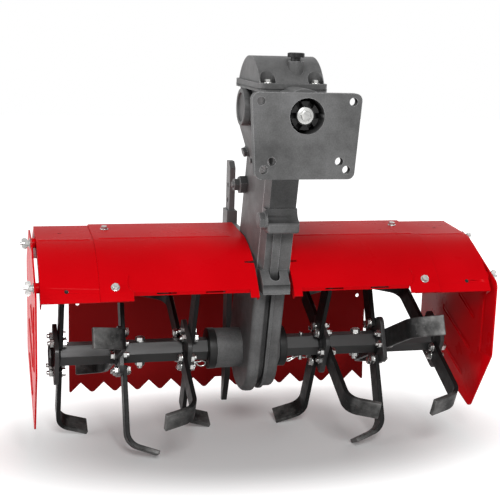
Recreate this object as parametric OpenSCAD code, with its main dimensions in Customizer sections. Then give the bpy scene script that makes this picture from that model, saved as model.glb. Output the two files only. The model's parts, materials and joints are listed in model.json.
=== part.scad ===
// Rotary tiller: a tined rotor under a sheet hood, driven by a central chain case
// that bolts to the rear flange of a two-wheel tractor.
// X runs along the rotor, Y from the tractor flange to the rear flap, Z up.
// All outlines are drawn about the rotor axis and then set on the floor.

/* [Rotor] */
// Radius of the rotor to the outer face of the blades
tine_r = 190; // [175:1:192]
// Width of the tine bar
tine_w = 36; // [28:1:40]
// Thickness of the tine bar
tine_t = 8; // [6:1:10]
// Sideways reach of a blade from the face of its flange
tine_reach = 58; // [50:1:70]
// Inside radius of the bend between shank and blade
tine_bend_r = 26; // [18:1:32]
// Angle of the bend between shank and blade
tine_bend_a = 70; // [60:1:85]
// Distance of a tine's inner end from the rotor axis
tine_root_r = 27; // [25:1:32]
// Angle of the standing blades in front of and behind straight down
stand_a = 24.5; // [18:0.5:30]
// Width of the hexagonal rotor tube across its flats
hex_af = 38; // [36:1:42]
// Wall of the hexagonal rotor tube
hex_wall = 4; // [3:0.5:5]
// Side of the square tine flange
flange_side = 86; // [80:1:96]
// Thickness of the tine flange
flange_t = 8; // [6:1:10]
// Distance of the inner tine flange from the centre plane
flange_in_x = 130; // [126:1:136]
// Distance of the middle tine flange from the centre plane
flange_mid_x = 253; // [248:1:260]
// Distance of the outer tine flange from the centre plane
flange_out_x = 367; // [360:1:372]
// How much nearer the middle and outer flanges sit on the right
right_set = 9; // [0:1:14]
// Radius of the rotor shaft in the case
shaft_r = 17.5; // [15:0.5:20]
// Radius of the collars beside the case
collar_r = 38; // [34:1:42]
// Width of a collar
collar_w = 14; // [10:1:16]

/* [Drive case] */
// Width of the leg of the case
leg_w = 58; // [54:1:64]
// Width of the groove along the joint of the two halves
groove_w = 10; // [8:1:12]
// Radius of the main casting around the rotor shaft
leg_low_r = 82; // [76:1:88]
// Radius of the main casting at the top of the leg
leg_top_r = 70; // [64:1:74]
// How far the chain cover stands back from the main casting's edge
cover_step = 8; // [4:1:10]
// Height of the leg's top centre above the rotor axis
leg_top_z = 385; // [370:1:400]
// Distance of the leg's top centre in front of the rotor axis
leg_top_y = 100; // [80:1:110]
// Wall of the castings
wall = 6; // [5:0.5:8]
// Length of the left bearing drum from the leg
drum_left = 47; // [42:1:50]
// Length of the right bearing drum from the leg
drum_right = 13; // [10:1:16]
// Radius of the bearing drums
drum_r = 37; // [34:1:40]

/* [Gearbox] */
// Width of the gearbox
box_w = 100; // [92:1:106]
// Height of the input shaft above the rotor axis
input_z = 455; // [445:1:465]
// Distance of the cross shaft in front of the rotor axis
cross_y = 118; // [110:1:126]
// Length of the gearbox in front of the cross shaft
box_front = 86; // [82:1:92]
// Length of the gearbox behind the cross shaft
box_rear = 70; // [64:1:76]
// Height of the gearbox below the input shaft, with its taper
box_low = 103; // [98:1:110]
// Height of the gearbox above the input shaft
box_high = 36; // [34:1:42]
// Height of the arched cover above the gearbox
dome_rise = 50; // [44:1:54]
// Thickness of the cover's rim
rim_t = 9; // [7:1:12]
// How far the cover's rim stands out past the gearbox
rim_out = 8; // [6:1:10]
// Radius of the side bearing caps
cap_r = 31; // [28:1:34]
// Thickness of the side bearing caps
cap_t = 12; // [8:1:16]

/* [Tractor flange] */
// Distance of the flange face in front of the rotor axis
face_y = 292; // [285:1:300]
// Thickness of the flange
face_t = 14; // [10:1:18]
// Half width of the flange at its top
face_top_x = 89; // [86:1:94]
// Half width of the flange at its bottom
face_low_x = 80; // [76:1:84]
// Height of the flange above the input shaft
face_up = 36; // [32:1:40]
// Depth of the flange below the input shaft
face_down = 98; // [92:1:104]
// Corner radius of the flange
face_corner_r = 11; // [8:1:14]
// Radius of the bolt holes
bolt_hole_r = 6.5; // [5:0.5:7]
// Spacing of the top pair of holes
top_hole_s = 148; // [140:1:152]
// Spacing of the lower outer pair of holes
low_hole_s = 134; // [128:1:140]
// Spacing of the lower inner pair of holes
inner_hole_s = 109; // [102:1:112]
// Radius of the opening for the input coupling
opening_r = 28; // [26:1:32]
// Radius of the input coupling
coupling_r = 22.5; // [20:0.5:23]

/* [Hood] */
// Half width of the hood over both end panels
hood_x = 400; // [395:1:410]
// Half width of the main covers
cover_x = 302; // [290:1:310]
// Half width of the gap for the drive case
hood_gap_x = 31; // [30:1:36]
// Sheet thickness of the hood
sheet_t = 2; // [1.5:0.5:2.5]
// Room between the rotor's reach and the curved front of the hood
hood_clear = 10; // [8:1:16]
// Angle of the hood's front edge above straight ahead
front_a = 35; // [30:1:40]
// Angle in front of straight up where the round front meets the flat top
crease_a = 10; // [6:1:16]
// Rise of the flat top from the crease to the ridge
ridge_rise = 6; // [0:1:10]
// Distance of the ridge behind the rotor axis
ridge_y = 75; // [65:1:85]
// Depth of the folded lip under the front edge
lip_h = 7; // [5:1:10]
// How far an end panel runs under the main cover
lap_x = 48; // [40:1:56]

/* [Rear flap and side plates] */
// Distance of the flap hinge behind the rotor axis
hinge_y = 280; // [272:1:290]
// Height of the flap hinge above the rotor axis
hinge_z = 108; // [100:1:114]
// Radius of the hinge rod
rod_r = 5; // [4:0.5:6]
// Half width of the flap
flap_x = 321; // [312:1:328]
// Depth of the flap's teeth below the rotor axis
flap_low_z = 172; // [160:1:174]
// Sheet thickness of the flap
flap_t = 3; // [2:0.5:4]
// Depth of one tooth of the flap's edge
tooth_h = 23; // [16:1:26]
// Number of teeth on each half of the flap
tooth_n = 7; // [4:1:9]
// Sheet thickness of the side plates
plate_t = 3; // [2:0.5:4]
// Gap between the hood's end and a side plate
plate_gap = 6; // [4:1:8]
// Depth of the side plates below the rotor axis
plate_low_z = 112; // [105:1:120]

/* [Depth stake] */
// Distance of the stake's front face behind the rotor axis
stake_y = 190; // [186:1:196]
// Depth of the stake bar from front to rear
stake_d = 32; // [26:1:36]
// Thickness of the stake bar
stake_t = 11; // [8:1:12]
// Distance of the stake's middle from the centre plane, to the left
stake_c = 5; // [0:1:8]
// Height of the stake's top above the rotor axis
stake_top_z = 323; // [300:1:340]
// Height of the stake's holder above the rotor axis
holder_z = 204; // [198:1:214]

/* [Hidden] */
$fn = 64;
arc_n = 10;           // steps along a round stretch of an outline
over = 1;             // overrun of every cut
run_gap = 0.05;       // running clearance of shafts and pins
seat_gap = 0.3;       // gap between pieces that lie on each other
paint = "firebrick";
cast_grey = "dimgray";

// Heights and the place on the floor
axle_h = tine_r * cos(stand_a) + tine_w / 2 * sin(stand_a);
knuckle_r = 9;
rear_y = hinge_y + knuckle_r;
place_y = (face_y - rear_y) / 2;
side_half = [-1, 1];

// Rotor tube and shaft
hex_r = hex_af / 2 / cos(30);
hex_bore_r = (hex_af - 2 * hex_wall) / 2 / cos(30);
spigot_r = hex_bore_r - seat_gap;
spigot_len = 110;
tube_out = 12;
leg_x = leg_w / 2;
left_tube_x = leg_x + drum_left + collar_w + seat_gap;
right_tube_x = leg_x + drum_right + collar_w + seat_gap;
flange_corner_r = 14;

// Gearbox box and its neck
box_front_y = -cross_y - box_front;
box_rear_y = -cross_y + box_rear;
box_mid_y = (box_front_y + box_rear_y) / 2;
box_floor_z = min(input_z - box_low, leg_top_z);
box_top_z = input_z + box_high;
rim_corner_r = 12;
cap_gap = 0.5;
case_rim_t = box_high - cap_r - cap_gap;
neck_w = 92;
neck_down = 88;
neck_low_z = input_z - neck_down;
neck_drop = 37;
taper_z = input_z - neck_drop;
neck_in = 1;
neck_r = box_high - neck_in;
boss_r = 41;
boss_len = 60;
input_r = 12;
input_depth = 40;
cap_boss_t = 4;
cap_rim = 7;
cap_dish = 4;

top_hole_up = 23;
low_hole_down = 83;
inner_hole_down = 70;
hole_rows = [[top_hole_s, input_z + top_hole_up], [low_hole_s, input_z - low_hole_down],
    [inner_hole_s, input_z - inner_hole_down]];

// Leg outlines, from the rotor shaft to the gearbox
low_c = [0, 0];
top_c = [-leg_top_y, leg_top_z];
groove_c = 2.5;
left_x = -groove_c - groove_w / 2;
right_x = groove_w / 2 - groove_c;
web_in = 16;
seam_in = 4;
seam_w = 6;
lug_low_z = 247;
lug_front_h = 19;
lug_fillet_r = 21;
lug_y = 172;
lug_out = 2;
lug_right_x = leg_x + lug_out;
lug_left_x = 25;
pad_low_z = 137;
pad_front_h = 17;
pad_top_z = 175;
pad_y = 150;
pad_x = 24;
front_in_y = 60;
draft_in = 11;
draft_len = 50;
rib_out = 4;
rib_x = 7;
slot_r = 9;
slot_wall = 7;
slot_floor = 9;

// Hood section: a round front, a flat top and a straight rear slope
hood_c = [8, 20];
hood_r = tine_r + hood_clear;
hood_front = hood_point(front_a, hood_r);
crease = hood_point(90 - crease_a, hood_r);
ridge = [ridge_y, crease[1] + ridge_rise];
lip_lean = 2;
lip_steps = 2;
lip_out_x = 246;
lip_in_x = 46;
lip_slot_len = 34;
lip_slot_h = 3;
lip_slot_shares = [0.3, 0.72];
notch_len = 15;
notch_h = 3;
notch_a = 58;
fold_a = 39;
fold_h = 12;
end_flange = 24;
end_hole_r = 3.5;
end_hole_x = 357;
end_hole_a = 41;

// Rear hinge knuckles
knuckle_w = 22;
hood_knuckle_x = [62, 276];
knuckle_gap = 2;
rear_gap = 3;
knuckle_top = [hinge_y, hinge_z + knuckle_r];
rear_share = (hinge_y - knuckle_r - rear_gap - ridge_y) / (hinge_y - ridge_y);
rear_edge = ridge + rear_share * (knuckle_top - ridge);

// Brackets between the leg and the covers
bracket_t = 3;
bracket_out = 56;
bracket_shares = [0.12, 0.38, 0.88];
bracket_h = 48;

// Side plates
spacer_r = 9;
spacer_a = [46, 88];
plate_corner_r = 16;
spacer_in = 16;
plate_lead = 5;
plate_in = 8;
plate_up = 14;
plate_chin_z = 12;
plate_lead_a = 6;
plate_trail_a = 8;
plate_nose_y = 86;
plate_heel_y = 172;
plate_heel_z = 40;
plate_rear_up = 34;

// Flap
flap_top_z = hinge_z - knuckle_r - knuckle_gap;
notch_half_x = 12;
tooth_share = 0.5;
flap_hole_r = 4;
flap_hole_in = 18;
flap_hole_drop = 79;

// Depth stake
stake_tip_h = 62;
stake_nose = 8;
stake_chamfer = 12;
pin_hole_r = 5;
pin_pitch = 30;
pin_steps = [-3:2];
holder_h = 22;
holder_wall = 5;
arm_drop = 28;
arm_h = 24;
stake_x = stake_t / 2;
holder_x = stake_x + holder_wall;

// Cover of the gearbox
dome_out = 4;
dome_x = box_w / 2 + dome_out;
dome_half = (box_front + box_rear) / 2;
dome_r = (dome_rise * dome_rise + dome_half * dome_half) / (2 * dome_rise);
dome_z = box_top_z + dome_rise - dome_r;
pocket_r = 12.5;
pocket_in = 14;
pocket_share = 0.9;
filler_share = 0.17;
filler_x = 11;
filler_y = box_front_y + filler_share * (box_front + box_rear);
filler_r = 13;
filler_in = 6;
filler_top_z = box_top_z + dome_rise - filler_in;
filler_cap_r = 14.5;
filler_cap_h = 7;
filler_neck_r = 7;
filler_neck_h = 6;
coupling_len = 36;
coupling_set = 14;
coupling_gap = 8;
jaw_n = 6;
jaw_w = 9;
jaw_d = 14;
jaw_core_r = 14;
bolt_head_r = 6.5;
washer_r = 15;
washer_t = 3;
bolt_head_h = 5;

// Points on an arc about c, from angle a0 to angle a1
function arc(c, r, a0, a1, n = arc_n) =
    [for (i = [0:n]) let (a = a0 + (a1 - a0) * i / n) c + r * [cos(a), sin(a)]];

// Outline of a strap around two circles
function strap(c0, r0, c1, r1) =
    let (d = c1 - c0, base = atan2(d[1], d[0]), off = acos((r0 - r1) / norm(d)))
    concat(arc(c1, r1, base - off, base + off), arc(c0, r0, base + off, base + 360 - off, 2 * arc_n));

// One corner b of an outline, rounded to radius r
function corner(a, b, c, r) =
    let (u = (a - b) / norm(a - b), v = (c - b) / norm(c - b), half = acos(u * v) / 2,
         m = b + r / sin(half) * (u + v) / norm(u + v),
         s = b + r / tan(half) * u - m, e = b + r / tan(half) * v - m,
         a0 = atan2(s[1], s[0]), sweep = (atan2(e[1], e[0]) - a0 + 540) % 360 - 180)
    arc(m, r, a0, a0 + sweep, 6);

// An outline with every corner rounded
function rounded(p, r) =
    [for (i = [0:len(p) - 1]) each corner(p[(i + len(p) - 1) % len(p)], p[i], p[(i + 1) % len(p)], r)];

// Left-hand normal of a step, and the mitre at a point of a path
function normal(p, q) = let (d = (q - p) / norm(q - p)) [-d[1], d[0]];
function mitre(p, i) =
    let (n = len(p), a = normal(p[max(i, 1) - 1], p[max(i, 1)]),
         b = normal(p[min(i, n - 2)], p[min(i, n - 2) + 1]))
    (a + b) / (1 + a * b);
function inset(p, t) = [for (i = [0:len(p) - 1]) p[i] - t * mitre(p, i)];

// Outline of a sheet of thickness t whose outer face follows the path
function sheet(p, t) =
    let (q = inset(p, t)) concat(p, [for (i = [len(q) - 1:-1:0]) q[i]]);

// Outer face of the hood from its front edge over the ridge to its rear edge
function hood_front_path(a1) = arc(hood_c, hood_r, 180 - front_a, a1, 2 * arc_n);
function hood_path() = concat(hood_front_path(90 + crease_a), [ridge, rear_edge]);
function lip_path() =
    let (p = hood_path(), fold = p[lip_steps])
    concat([fold + [lip_lean, -lip_h]], [for (i = [lip_steps:len(p) - 1]) p[i]]);
function hood_point(a, r) = hood_c + r * [-cos(a), sin(a)];

// A Y-Z outline extruded from x0 to x1
module along_x(x0, x1) {
    translate([x0, 0, 0]) rotate([90, 0, 90]) linear_extrude(x1 - x0) children();
}

// An X-Z outline extruded from y0 to y1
module along_y(y0, y1) {
    translate([0, y1, 0]) rotate([90, 0, 0]) linear_extrude(y1 - y0) children();
}

// A round bar along X between x0 and x1
module bar_x(x0, x1, r, y = 0, z = 0) {
    translate([x0, y, z]) rotate([0, 90, 0]) cylinder(h = x1 - x0, r = r);
}

// A round bar along Y between y0 and y1
module bar_y(y0, y1, r, x = 0, z = 0) {
    translate([x, y0, z]) rotate([-90, 0, 0]) cylinder(h = y1 - y0, r = r);
}

// A box between two corners
module block(a, b) {
    translate(a) cube(b - a);
}

// The half of a shape on one side: 1 keeps it, -1 mirrors it to the left
module on_side(s) {
    if (s > 0) children();
    else mirror([1, 0, 0]) children();
}

// Everything stands on the floor with its middle over the origin
module stand() {
    translate([0, place_y, axle_h]) children();
}

// Drive case: gearbox, left half of the leg, input neck and tractor flange
module leg_outline(step) {
    polygon(strap(low_c, leg_low_r - step, top_c, leg_top_r - step));
}

module lug_outline() {
    lug_top_z = lug_low_z + lug_front_h + lug_fillet_r;
    polygon(concat([[-front_in_y, lug_low_z], [-lug_y, lug_low_z]],
        arc([-lug_y, lug_top_z], lug_fillet_r, -90, 0), [[-front_in_y, lug_top_z]]));
}

module pad_outline() {
    polygon([[-front_in_y, pad_low_z], [-pad_y, pad_low_z], [-pad_y, pad_low_z + pad_front_h],
        [front_y(pad_top_z), pad_top_z], [-front_in_y, pad_top_z]]);
}

// Lean of the leg's front, and its place at height z
function front_lean() =
    let (d = top_c - low_c) atan2(d[1], d[0]) + acos((leg_low_r - leg_top_r) / norm(d)) - 180;
function front_y(z) = -(leg_low_r + z * sin(front_lean())) / cos(front_lean());

// Wedge along the leg's front left edge, where the left face runs in
module left_draft() {
    translate([0, front_y(pad_low_z), pad_low_z]) rotate([front_lean(), 0, 0])
        linear_extrude(box_floor_z - pad_low_z) polygon([[draft_in - leg_x, -over], [draft_in - leg_x, 0],
            [-leg_x, draft_len], [-leg_w, draft_len], [-leg_w, -over]]);
}

// Slot in the pad for the foot of the rib
module pad_slot() {
    y = slot_wall + slot_r - pad_y;
    translate([0, y, pad_low_z + slot_floor]) cylinder(h = pad_top_z, r = slot_r);
    block([-slot_r, y, pad_low_z + slot_floor], [slot_r, -front_in_y, pad_low_z + pad_top_z]);
}

// Front of the leg from the pad up: one face over both halves, with the rib, the lug and the pad
module leg_front() difference() {
    union() {
        difference() {
            intersection() {
                along_x(-leg_x, leg_x) leg_outline(0);
                block([-leg_w, -face_y, pad_low_z], [leg_w, -front_in_y, box_floor_z]);
            }
            left_draft();
        }
        intersection() {
            along_x(-rib_x, rib_x) leg_outline(-rib_out);
            block([-leg_w, -face_y, pad_low_z + slot_floor], [leg_w, -front_in_y, lug_low_z]);
        }
        along_x(-lug_left_x, lug_right_x) lug_outline();
        difference() {
            along_x(-pad_x, pad_x) pad_outline();
            pad_slot();
        }
    }
    along_x(-leg_w, leg_w) leg_outline(web_in);
}

// Gearbox, t inside its outer faces and up above its top edge: its sides narrow down to the leg
module box_body(t, up) intersection() {
    along_y(box_front_y, box_rear_y) polygon([
        [t - box_w / 2, box_top_z + up], [t - box_w / 2, taper_z], [t - leg_x, box_floor_z + t],
        [leg_x - t, box_floor_z + t], [box_w / 2 - t, taper_z], [box_w / 2 - t, box_top_z + up]]);
    along_x(-box_w / 2, box_w / 2) polygon([
        [box_front_y + t, box_top_z + up], [box_front_y + t, neck_low_z + t],
        [-leg_top_y - leg_top_r + t, box_floor_z + t], [box_rear_y - t, box_floor_z + t],
        [box_rear_y - t, box_top_z + up]]);
}

// Rim of the gearbox and of its cover, seen from above
module rim_outline() {
    x = box_w / 2 + rim_out;
    polygon(rounded([[-x, box_front_y - rim_out], [x, box_front_y - rim_out],
        [x, box_rear_y + rim_out], [-x, box_rear_y + rim_out]], rim_corner_r));
}

module flange_outline() {
    z1 = input_z + face_up;
    z0 = input_z - face_down;
    polygon(rounded([[-face_low_x, z0], [face_low_x, z0], [face_top_x, z1], [-face_top_x, z1]],
        face_corner_r));
}

module drive_case() color(cast_grey) difference() {
    back_y = -face_y + face_t;
    union() {
        difference() {
            along_x(-leg_x, left_x) leg_outline(0);
            left_draft();
        }
        along_x(left_x, right_x) leg_outline(web_in);
        leg_front();
        box_body(0, 0);
        translate([0, 0, box_top_z - case_rim_t]) linear_extrude(case_rim_t) rim_outline();
        along_y(back_y, box_front_y) polygon([[-neck_w / 2, taper_z], [-leg_x, neck_low_z],
            [leg_x, neck_low_z], [neck_w / 2, taper_z]]);
        bar_y(back_y, box_front_y, neck_r, 0, input_z);
        bar_y(back_y, back_y + boss_len, boss_r, 0, input_z);
        along_y(-face_y, back_y) flange_outline();
        for (s = side_half) on_side(s)
            bar_x(box_w / 2, box_w / 2 + cap_boss_t, cap_r, -cross_y, input_z);
        bar_x(-leg_x - drum_left, -leg_x, drum_r);
    }
    along_x(-leg_x + wall, right_x + over) leg_outline(web_in + wall);
    box_body(wall, over);
    bar_y(-face_y - over, coupling_set + coupling_len + coupling_gap - face_y, opening_r, 0, input_z);
    bar_y(-face_y - over, box_front_y + wall + over, input_r + run_gap, 0, input_z);
    block([-leg_x + wall, back_y + wall, neck_low_z + wall],
        [leg_x - wall, box_front_y + wall + over, input_z - opening_r - wall]);
    bar_x(-leg_x - drum_left - over, 0, shaft_r + run_gap);
    for (h = hole_rows, s = side_half)
        bar_y(-face_y - over, back_y + over, bolt_hole_r, s * h[0] / 2, h[1]);
}

module chain_cover() color(cast_grey) difference() {
    union() {
        difference() {
            union() {
                along_x(right_x, leg_x) leg_outline(cover_step);
                along_x(right_x, right_x + seam_w) leg_outline(seam_in);
            }
            block([0, -face_y, box_floor_z], [leg_w, hinge_y, input_z]);
            leg_front();
        }
        bar_x(leg_x, leg_x + drum_right, drum_r);
    }
    along_x(right_x - over, leg_x - wall) leg_outline(web_in + wall);
    bar_x(0, leg_x + drum_right + over, shaft_r + run_gap);
}

// The arch of the cover, t inside its outer face
module cover_arch(t) intersection() {
    bar_x(-dome_x + t, dome_x - t, dome_r - t, box_mid_y, dome_z);
    block([-box_w, box_front_y, box_top_z - over], [box_w, box_rear_y, box_top_z + dome_rise]);
}

// Round columns at the four cover bolts
module cover_pockets(r, z) {
    for (sx = side_half, sy = side_half)
        translate([sx * (dome_x - pocket_in), box_mid_y + sy * dome_half * pocket_share, z])
            cylinder(h = dome_rise, r = r);
}

module gearbox_cover() color(cast_grey) difference() {
    union() {
        translate([0, 0, box_top_z]) linear_extrude(rim_t) rim_outline();
        difference() {
            cover_arch(0);
            block([-box_w, -face_y, box_floor_z], [box_w, 0, box_top_z]);
        }
        translate([filler_x, filler_y, box_top_z]) cylinder(h = filler_top_z - box_top_z, r = filler_r);
    }
    difference() {
        cover_arch(wall);
        cover_pockets(pocket_r + wall, box_top_z - over);
    }
    cover_pockets(pocket_r, box_top_z + rim_t);
}

module filler_cap() color("black") translate([filler_x, filler_y, filler_top_z]) {
    cylinder(h = filler_neck_h, r = filler_neck_r);
    translate([0, 0, filler_neck_h]) cylinder(h = filler_cap_h, r = filler_cap_r);
}

module bearing_cap(s) color(cast_grey) on_side(s) difference() {
    x1 = box_w / 2 + cap_boss_t + cap_t;
    bar_x(box_w / 2 + cap_boss_t, x1, cap_r, -cross_y, input_z);
    bar_x(x1 - cap_dish, x1 + over, cap_r - cap_rim, -cross_y, input_z);
}

// Hood: two main covers, and two end panels that run under them
module hood_cover(s) color(paint) on_side(s) {
    fold = hood_path()[lip_steps];
    difference() {
        union() {
            along_x(hood_gap_x, lip_in_x) polygon(sheet(hood_path(), sheet_t));
            along_x(lip_in_x, lip_out_x) polygon(sheet(lip_path(), sheet_t));
            along_x(lip_out_x, cover_x) polygon(sheet(hood_path(), sheet_t));
            along_x(hood_gap_x, hood_gap_x + sheet_t)
                polygon(sheet(hood_front_path(90 + fold_a), fold_h));
            for (x = hood_knuckle_x) {
                along_x(x, x + knuckle_w) polygon(sheet([ridge, rear_edge, knuckle_top], sheet_t));
                bar_x(x, x + knuckle_w, knuckle_r, hinge_y, hinge_z);
            }
        }
        for (x = hood_knuckle_x)
            bar_x(x - over, x + knuckle_w + over, rod_r + run_gap, hinge_y, hinge_z);
        for (q = lip_slot_shares)
            translate([lip_in_x + q * (lip_out_x - lip_in_x) - lip_slot_len / 2, fold[0] - lip_h,
                fold[1] - lip_h / 2 - lip_slot_h / 2]) cube([lip_slot_len, 2 * lip_h, lip_slot_h]);
        translate([hood_gap_x, hood_c[0], hood_c[1]]) rotate([notch_a - 90, 0, 0])
            translate([-over, -notch_h / 2, hood_r - 2 * sheet_t])
                cube([notch_len + over, notch_h, 4 * sheet_t]);
    }
}

module hood_end(s) color(paint) on_side(s) {
    under = inset(hood_path(), sheet_t + seat_gap);
    difference() {
        union() {
            along_x(cover_x - lap_x, hood_x) polygon(sheet(under, sheet_t));
            along_x(hood_x - sheet_t, hood_x) polygon(sheet(under, end_flange));
        }
        translate([end_hole_x, hood_c[0], hood_c[1]]) rotate([90 - end_hole_a, 0, 0])
            cylinder(h = 2 * hood_r, r = end_hole_r);
    }
}

module hood_bracket(s) color("black") on_side(s) {
    top = [for (q = bracket_shares) crease + q * (ridge - crease) - [0, sheet_t + seat_gap]];
    along_x(leg_x, leg_x + bracket_out) polygon(sheet([top[0], top[2]], bracket_t));
    along_x(leg_x, leg_x + bracket_t)
        polygon([top[0], top[1], top[1] - [0, bracket_h], top[0] - [0, bracket_h]]);
}

module side_plate(s) color(paint) on_side(s) {
    x0 = hood_x + plate_gap;
    front_y = hood_front[0] - plate_lead;
    along_x(x0, x0 + plate_t) polygon(rounded([
        [-plate_nose_y, -plate_low_z], [plate_heel_y, -plate_heel_z],
        [plate_heel_y, hinge_z + plate_rear_up], ridge - [0, plate_in],
        hood_point(spacer_a[1] - plate_trail_a, hood_r - plate_in),
        hood_point(spacer_a[0] + plate_lead_a, hood_r - plate_in),
        [front_y, hood_front[1] + plate_up], [front_y, plate_chin_z]], plate_corner_r));
    for (a = spacer_a) {
        p = hood_point(a, hood_r - spacer_in);
        bar_x(hood_x, x0, spacer_r, p[0], p[1]);
    }
}

module hinge_rod() color("silver")
    bar_x(-hood_knuckle_x[1] - knuckle_w, hood_knuckle_x[1] + knuckle_w, rod_r, hinge_y, hinge_z);

// Rear flap with its toothed lower edge, hung on the hinge rod
module rear_flap() color(paint) {
    y0 = hinge_y + rod_r;
    pitch = (flap_x - notch_half_x) / (tooth_n - tooth_share);
    teeth = [for (i = [0:tooth_n - 1]) each [[notch_half_x + i * pitch, tooth_h - flap_low_z],
        [notch_half_x + (i + tooth_share) * pitch, -flap_low_z]]];
    half_edge = concat(teeth, [[flap_x, flap_top_z]]);
    difference() {
        union() {
            along_y(y0, y0 + flap_t) polygon(concat(half_edge,
                [for (i = [len(half_edge) - 1:-1:0]) [-half_edge[i][0], half_edge[i][1]]]));
            for (s = side_half) on_side(s) flap_knuckle(y0);
        }
        for (s = side_half) on_side(s) {
            bar_x(hood_gap_x, flap_x, rod_r + run_gap, hinge_y, hinge_z);
            translate([flap_x - flap_hole_in, y0 - over, flap_top_z - flap_hole_drop]) rotate([-90, 0, 0])
                cylinder(h = flap_t + 2 * over, r = flap_hole_r);
        }
    }
}

module flap_knuckle(y0) {
    x0 = hood_knuckle_x[0] + knuckle_w + knuckle_gap;
    x1 = hood_knuckle_x[1] - knuckle_gap;
    bar_x(x0, x1, knuckle_r, hinge_y, hinge_z);
    block([x0, y0, flap_top_z], [x1, y0 + flap_t, hinge_z]);
}

// Depth stake and its holder behind the case
module stake_holder() color(cast_grey) difference() {
    arm_z = holder_z - arm_drop;
    translate([-stake_c, 0, 0]) difference() {
        union() {
            block([-holder_x, 0, arm_z], [holder_x, stake_y, arm_z + arm_h]);
            block([-holder_x, stake_y - holder_wall, arm_z],
                [holder_x, stake_y + stake_d + holder_wall, holder_z + holder_h]);
        }
        block([-stake_x - seat_gap, stake_y - seat_gap, arm_z - over],
            [stake_x + seat_gap, stake_y + stake_d + seat_gap, holder_z + holder_h + over]);
    }
    along_x(-leg_w, leg_w) leg_outline(0);
}

module depth_stake() color(cast_grey) translate([-stake_c, 0, 0]) difference() {
    along_x(-stake_x, stake_x) polygon([
        [stake_y, stake_tip_h - axle_h], [stake_y + stake_d - stake_nose, -axle_h],
        [stake_y + stake_d, -axle_h], [stake_y + stake_d, stake_top_z],
        [stake_y + stake_chamfer, stake_top_z], [stake_y, stake_top_z - stake_chamfer]]);
    for (i = pin_steps)
        bar_x(-leg_w, leg_w, pin_hole_r, stake_y + stake_d / 2, holder_z + holder_h / 2 + i * pin_pitch);
}

// Rotor: shaft through the case, a hexagonal tube on each side, tines on flanges
function middle_x(s) = flange_mid_x - (s > 0 ? right_set : 0);
function outer_x(s) = flange_out_x - (s > 0 ? right_set : 0);

module hex_bar(x0, x1, r) {
    along_x(x0, x1) circle(r = r, $fn = 6);
}

module rotor_shaft() color("black") {
    bar_x(-left_tube_x, right_tube_x, shaft_r);
    bar_x(-left_tube_x, collar_w - left_tube_x, collar_r);
    bar_x(right_tube_x - collar_w, right_tube_x, collar_r);
    hex_bar(-left_tube_x - spigot_len, -left_tube_x, spigot_r);
    hex_bar(right_tube_x, right_tube_x + spigot_len, spigot_r);
}

module rotor_tube(s, x0) color("black") on_side(s) difference() {
    union() {
        hex_bar(x0, outer_x(s) + tube_out, hex_r);
        for (f = [[flange_in_x, -stand_a], [middle_x(s), stand_a], [outer_x(s), -stand_a]])
            along_x(f[0] - flange_t / 2, f[0] + flange_t / 2) rotate(-f[1])
                polygon(rounded(flange_side / 2 * [[-1, -1], [1, -1], [1, 1], [-1, 1]], flange_corner_r));
    }
    hex_bar(x0 - over, outer_x(s) + tube_out + over, hex_bore_r);
}

// Side view of a tine: a shank beside its flange, a bend and a blade
module tine_outline() {
    r = tine_bend_r + tine_t;
    run = (tine_reach - r * (1 - cos(tine_bend_a))) / sin(tine_bend_a);
    c = [r, tine_r - r * sin(tine_bend_a) - run * cos(tine_bend_a)];
    tip = [tine_reach, tine_r];
    polygon(concat([[0, tine_root_r]], arc(c, r, 180, 180 - tine_bend_a),
        [tip, tip + tine_t * [cos(tine_bend_a), -sin(tine_bend_a)]],
        arc(c, tine_bend_r, 180 - tine_bend_a, 180), [[tine_t, tine_root_r]]));
}

// One tine on the face of a flange at x, pointing a degrees above straight ahead.
// way is the side that its blade turns to: 1 to the right, -1 to the left.
module tine(x, a, way) {
    translate([x + way * flange_t / 2, 0, 0]) rotate([90 - a, 0, 0])
        on_side(way) translate([0, tine_w / 2, 0]) rotate([90, 0, 0])
            linear_extrude(tine_w) tine_outline();
}

// Tines in opposite pairs: out_a is the angle of the pair that turns away from the case
module tine_set(s, x, out_a, in_a) color("black") {
    for (k = [0, 180]) {
        if (out_a != undef) tine(s * x, out_a + k, s);
        if (in_a != undef) tine(s * x, in_a + k, -s);
    }
}

// Input coupling with its jaws, washer and bolt, on the stub of the input shaft
module input_coupling() color("black") {
    y0 = -face_y + coupling_set;
    difference() {
        bar_y(y0, y0 + coupling_len, coupling_r, 0, input_z);
        for (i = [0:jaw_n - 1]) translate([0, y0, input_z]) rotate([0, 360 * i / jaw_n, 0])
            block([jaw_core_r, -over, -jaw_w / 2], [coupling_r + over, jaw_d, jaw_w / 2]);
    }
    bar_y(y0 + coupling_len, box_front_y + wall + input_depth, input_r, 0, input_z);
    bar_y(y0 - washer_t, y0, washer_r, 0, input_z);
    bar_y(y0 - washer_t - bolt_head_h, y0 - washer_t, bolt_head_r, 0, input_z);
}

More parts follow.
